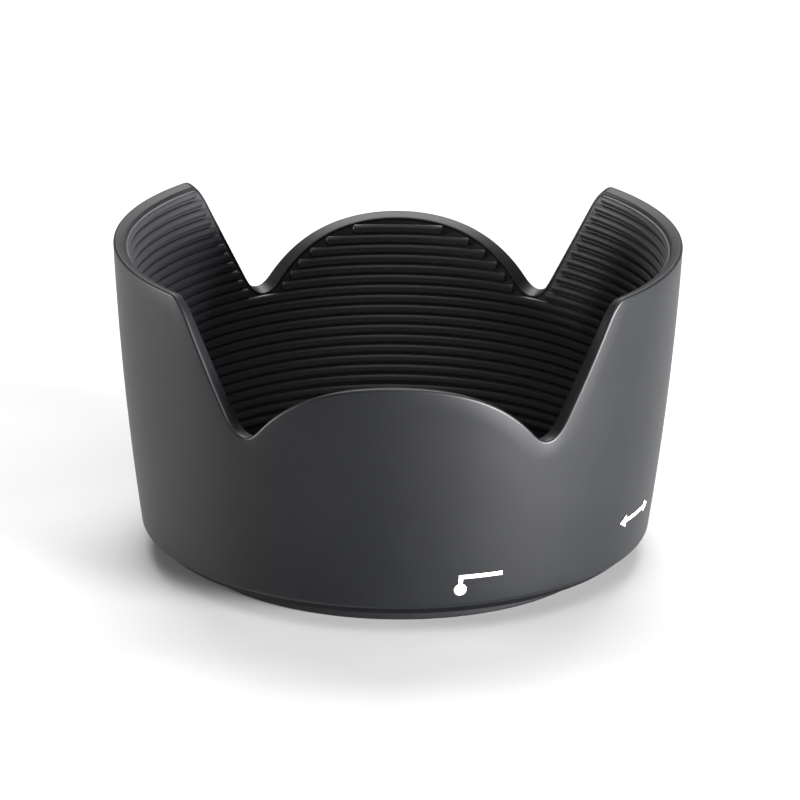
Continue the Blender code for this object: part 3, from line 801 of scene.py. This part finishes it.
# Bright nickel plate over steel: a warm silver with the fine mottle of barrel plating, about
# 0.05 mm across on the real screw and drawn at 0.12 mm.
PLATE_MOTTLE = 0.12 * MM
screw_steel, shader = new_material("nickel_plated_steel", Metallic=1.0)
place = add_node(screw_steel, "ShaderNodeTexCoord").outputs["Object"]
mottle = add_node(screw_steel, "ShaderNodeTexNoise",
                  {"Vector": place, "Scale": 1.0 / PLATE_MOTTLE, "Detail": 2.0}).outputs["Fac"]
gloss = add_node(screw_steel, "ShaderNodeMapRange", {"Value": mottle, "To Min": 0.22, "To Max": 0.38})
links = screw_steel.node_tree.links
links.new(two_tones(screw_steel, mottle, "#b4b0a8", "#c8c5bd"), shader.inputs["Base Color"])
links.new(gloss.outputs["Result"], shader.inputs["Roughness"])

for number, angle in enumerate(SCREW_ANGLES, 1):
    copy = bpy.data.objects.new(f"ring_screw_{number}", screw.data.copy())
    bpy.context.scene.collection.objects.link(copy)
    copy.data.transform(Matrix.Rotation(-angle, 4, "Z"))
    finish_piece(copy, screw_steel, "hood", [f"mount_screw_{number}"])
bpy.data.objects.remove(screw, do_unlink=True)

# ---------------------------------------------------------------------------------------------
# Click pawls. Two acetal blocks, moulded in natural white, slide in slots through the collar.
# Their noses stand into the bore and drop into notches in the lens; a wide back keeps them in.

PAWL_LOW, PAWL_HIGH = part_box("click_pawl_1")
PAWL_SHOULDER = 34.3 * MM
PAWL_BACK = 36.1 * MM
PAWL_NOSE_HALF = 1.0 * MM
PAWL_HALF = 2.5 * MM
PAWL_STEP = 0.01 * MM
PAWL_BEVEL = 0.12 * MM

# Acetal: a cool waxy white, smooth and slightly translucent, with the dull gloss of a moulding
# and faint flow marks.
FLOW_MARKS = 0.6 * MM
pawl_acetal, shader = new_material("natural_acetal", IOR=1.48, Subsurface_Weight=0.15,
                                   Subsurface_Scale=0.5 * MM)
place = add_node(pawl_acetal, "ShaderNodeTexCoord").outputs["Object"]
flow = add_node(pawl_acetal, "ShaderNodeTexNoise",
                {"Vector": place, "Scale": 1.0 / FLOW_MARKS, "Detail": 3.0}).outputs["Fac"]
gloss = add_node(pawl_acetal, "ShaderNodeMapRange", {"Value": flow, "To Min": 0.3, "To Max": 0.42})
links = pawl_acetal.node_tree.links
links.new(two_tones(pawl_acetal, flow, "#d2d0c8", "#dddbd4"), shader.inputs["Base Color"])
links.new(gloss.outputs["Result"], shader.inputs["Roughness"])


def extrude_face(piece, direction, distance, scale_y):
    """Extrude a block's end face along X, then resize it across."""
    bpy.ops.object.mode_set(mode="EDIT")
    bpy.ops.mesh.select_mode(type="FACE")
    bpy.ops.mesh.select_all(action="DESELECT")
    bpy.ops.object.mode_set(mode="OBJECT")
    end = max(piece.data.polygons, key=lambda face: face.center.x * direction)
    end.select = True
    bpy.ops.object.mode_set(mode="EDIT")
    bpy.ops.mesh.extrude_region_move(
        TRANSFORM_OT_translate={"value": (direction * distance, 0.0, 0.0)})
    bpy.ops.transform.resize(value=(1.0, scale_y, 1.0), center_override=(0.0, 0.0, 0.0))
    bpy.ops.object.mode_set(mode="OBJECT")


pawl = add_cube((PAWL_SHOULDER, PAWL_BACK), (-PAWL_HALF, PAWL_HALF), (PAWL_LOW.z, PAWL_HIGH.z))
extrude_face(pawl, -1.0, PAWL_SHOULDER - PAWL_LOW.x, PAWL_NOSE_HALF / PAWL_HALF)
extrude_face(pawl, 1.0, PAWL_STEP, PAWL_HIGH.y / PAWL_HALF)
extrude_face(pawl, 1.0, PAWL_HIGH.x - PAWL_BACK - PAWL_STEP, 1.0)
bpy.ops.object.mode_set(mode="EDIT")
bpy.ops.mesh.select_mode(type="EDGE")
bpy.ops.mesh.select_all(action="DESELECT")
bpy.ops.mesh.edges_select_sharp(sharpness=math.radians(30.0))
bpy.ops.mesh.bevel(offset=PAWL_BEVEL, segments=BEVEL_SEGMENTS, affect="EDGES", clamp_overlap=True)
bpy.ops.mesh.select_mode(type="VERT")
bpy.ops.object.mode_set(mode="OBJECT")
for number, turn in ((1, 0.0), (2, math.pi)):
    copy = bpy.data.objects.new(f"acetal_pawl_{number}", pawl.data.copy())
    bpy.context.scene.collection.objects.link(copy)
    copy.data.transform(Matrix.Rotation(turn, 4, "Z"))
    finish_piece(copy, pawl_acetal, f"pawl_{number}", [f"click_pawl_{number}"],
                 smooth_angle=50.0)
bpy.data.objects.remove(pawl, do_unlink=True)

# ---------------------------------------------------------------------------------------------
# Leaf springs. A strip of rolled stainless spring steel stands behind each pawl, its turned-in
# tips against the shell. Each is made in two halves that meet behind the pawl.

LEAF_LOW, LEAF_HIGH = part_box("click_spring_1")
LEAF_THICK = 0.3 * MM
LEAF_CURL = 0.4 * MM
LEAF_TIP = 1.2 * MM
LEAF_TIP_STEPS = 4
LEAF_STEPS = 24
LEAF_BEVEL = 0.04 * MM

# Rolled strip: cool bright steel with lengthwise rolling lines, 0.02 mm apart on the real strip
# and drawn at 0.1 mm.
ROLLING_LINES = 0.1 * MM
ROLLING_STRETCH = 0.08
spring_steel, shader = new_material("rolled_spring_steel", Metallic=1.0)
place = add_node(spring_steel, "ShaderNodeTexCoord").outputs["Object"]
stretched = add_node(spring_steel, "ShaderNodeMapping",
                     {"Vector": place, "Scale": (1.0, ROLLING_STRETCH, 1.0)})
rolling = add_node(spring_steel, "ShaderNodeTexNoise",
                   {"Vector": stretched.outputs["Vector"], "Scale": 1.0 / ROLLING_LINES,
                    "Detail": 2.0}).outputs["Fac"]
gloss = add_node(spring_steel, "ShaderNodeMapRange", {"Value": rolling, "To Min": 0.2, "To Max": 0.4})
links = spring_steel.node_tree.links
links.new(two_tones(spring_steel, rolling, "#a9abab", "#c4c6c6"), shader.inputs["Base Color"])
links.new(gloss.outputs["Result"], shader.inputs["Roughness"])

bpy.ops.object.select_all(action="DESELECT")
bpy.ops.mesh.primitive_plane_add(size=1.0, rotation=(math.pi / 2, 0.0, 0.0))
half_leaf = bpy.context.object
bpy.ops.object.transform_apply(rotation=True)
for vertex in half_leaf.data.vertices:
    vertex.co = (LEAF_HIGH.x - LEAF_THICK / 2 + vertex.co.x * LEAF_THICK, 0.0,
                 (LEAF_LOW.z + LEAF_HIGH.z) / 2 + vertex.co.z * (LEAF_HIGH.z - LEAF_LOW.z))
leaf_straight = LEAF_HIGH.y - LEAF_TIP
bpy.ops.object.mode_set(mode="EDIT")
bpy.ops.mesh.select_all(action="SELECT")
for _step in range(LEAF_STEPS):
    bpy.ops.mesh.extrude_region_move(
        TRANSFORM_OT_translate={"value": (0.0, leaf_straight / LEAF_STEPS, 0.0)})
bend = 0.0
for i in range(LEAF_TIP_STEPS):
    share = ((i + 1) / LEAF_TIP_STEPS) ** 2
    bpy.ops.mesh.extrude_region_move(
        TRANSFORM_OT_translate={"value": (-(share - bend) * LEAF_CURL, LEAF_TIP / LEAF_TIP_STEPS, 0.0)})
    bend = share
bpy.ops.mesh.select_all(action="SELECT")
bpy.ops.mesh.normals_make_consistent(inside=False)
bpy.ops.mesh.select_all(action="DESELECT")
bpy.ops.mesh.edges_select_sharp(sharpness=math.radians(50.0))
bpy.ops.mesh.bevel(offset=LEAF_BEVEL, segments=2, affect="EDGES")
bpy.ops.object.mode_set(mode="OBJECT")

for number, turn in ((1, 0.0), (2, math.pi)):
    for side, mirrored in (("left", 1.0), ("right", -1.0)):
        copy = bpy.data.objects.new(f"leaf_spring_{number}_{side}", half_leaf.data.copy())
        bpy.context.scene.collection.objects.link(copy)
        copy.data.transform(Matrix.Rotation(turn, 4, "Z") @ Matrix.Scale(mirrored, 4, (0.0, 1.0, 0.0)))
        if mirrored < 0.0:
            copy.data.flip_normals()
        finish_piece(copy, spring_steel, None, [f"click_spring_{number}"])
        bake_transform(copy)
bpy.data.objects.remove(half_leaf, do_unlink=True)

# ---------------------------------------------------------------------------------------------
# Studio. A pale matt table in a white room, a low softbox on each side that draws the highlights
# on the wall, one high behind for the rims, and one high in front that lights the table.

FLOOR_SIZE = 12.0
FLOOR_MOTTLE = 30.0
bpy.ops.object.select_all(action="DESELECT")
bpy.ops.mesh.primitive_plane_add(size=FLOOR_SIZE)
floor = bpy.context.object
floor.name = "floor"
floor_paint, shader = new_material("pale_matt_paint", Roughness=0.95, Specular_IOR_Level=0.1)
place = add_node(floor_paint, "ShaderNodeTexCoord").outputs["Object"]
mottle = add_node(floor_paint, "ShaderNodeTexNoise",
                  {"Vector": place, "Scale": FLOOR_MOTTLE}).outputs["Fac"]
floor_paint.node_tree.links.new(two_tones(floor_paint, mottle, "#c2c2c2", "#c5c5c5"),
                                shader.inputs["Base Color"])
floor.data.materials.append(floor_paint)

ROOM_LIGHT = 0.12
world = bpy.data.worlds.new("studio")
bpy.context.scene.world = world
world.use_nodes = True
room = world.node_tree.nodes["Background"]
room.inputs["Color"].default_value = (1.0, 1.0, 1.0, 1.0)
room.inputs["Strength"].default_value = ROOM_LIGHT


def add_softbox(name, azimuth, elevation, distance, width, height, power):
    """A rectangular softbox that faces the hood. Azimuth 0 is the camera's side, 90 is its right.

    Angles are in degrees, lengths in metres and the power in watts.
    """
    a = math.radians(azimuth)
    e = math.radians(elevation)
    away = Vector((math.sin(a) * math.cos(e), -math.cos(a) * math.cos(e), math.sin(e)))
    data = bpy.data.lights.new(name, "AREA")
    data.shape = "RECTANGLE"
    data.size = width
    data.size_y = height
    data.energy = power
    box = bpy.data.objects.new(name, data)
    box.location = Vector((0.0, 0.0, HEIGHT / 2)) + away * distance
    box.rotation_euler = away.to_track_quat("Z", "Y").to_euler()
    bpy.context.scene.collection.objects.link(box)


add_softbox("key_softbox", azimuth=56.0, elevation=4.0, distance=0.9, width=0.4, height=0.12, power=58.0)
add_softbox("fill_softbox", azimuth=-92.0, elevation=4.0, distance=0.9, width=0.3, height=0.12, power=10.0)
add_softbox("rim_softbox", azimuth=180.0, elevation=54.0, distance=1.2, width=1.0, height=0.8, power=24.0)
add_softbox("top_softbox", azimuth=0.0, elevation=58.0, distance=1.0, width=0.6, height=0.6, power=4.5)
bpy.context.scene.view_settings.view_transform = "Standard"
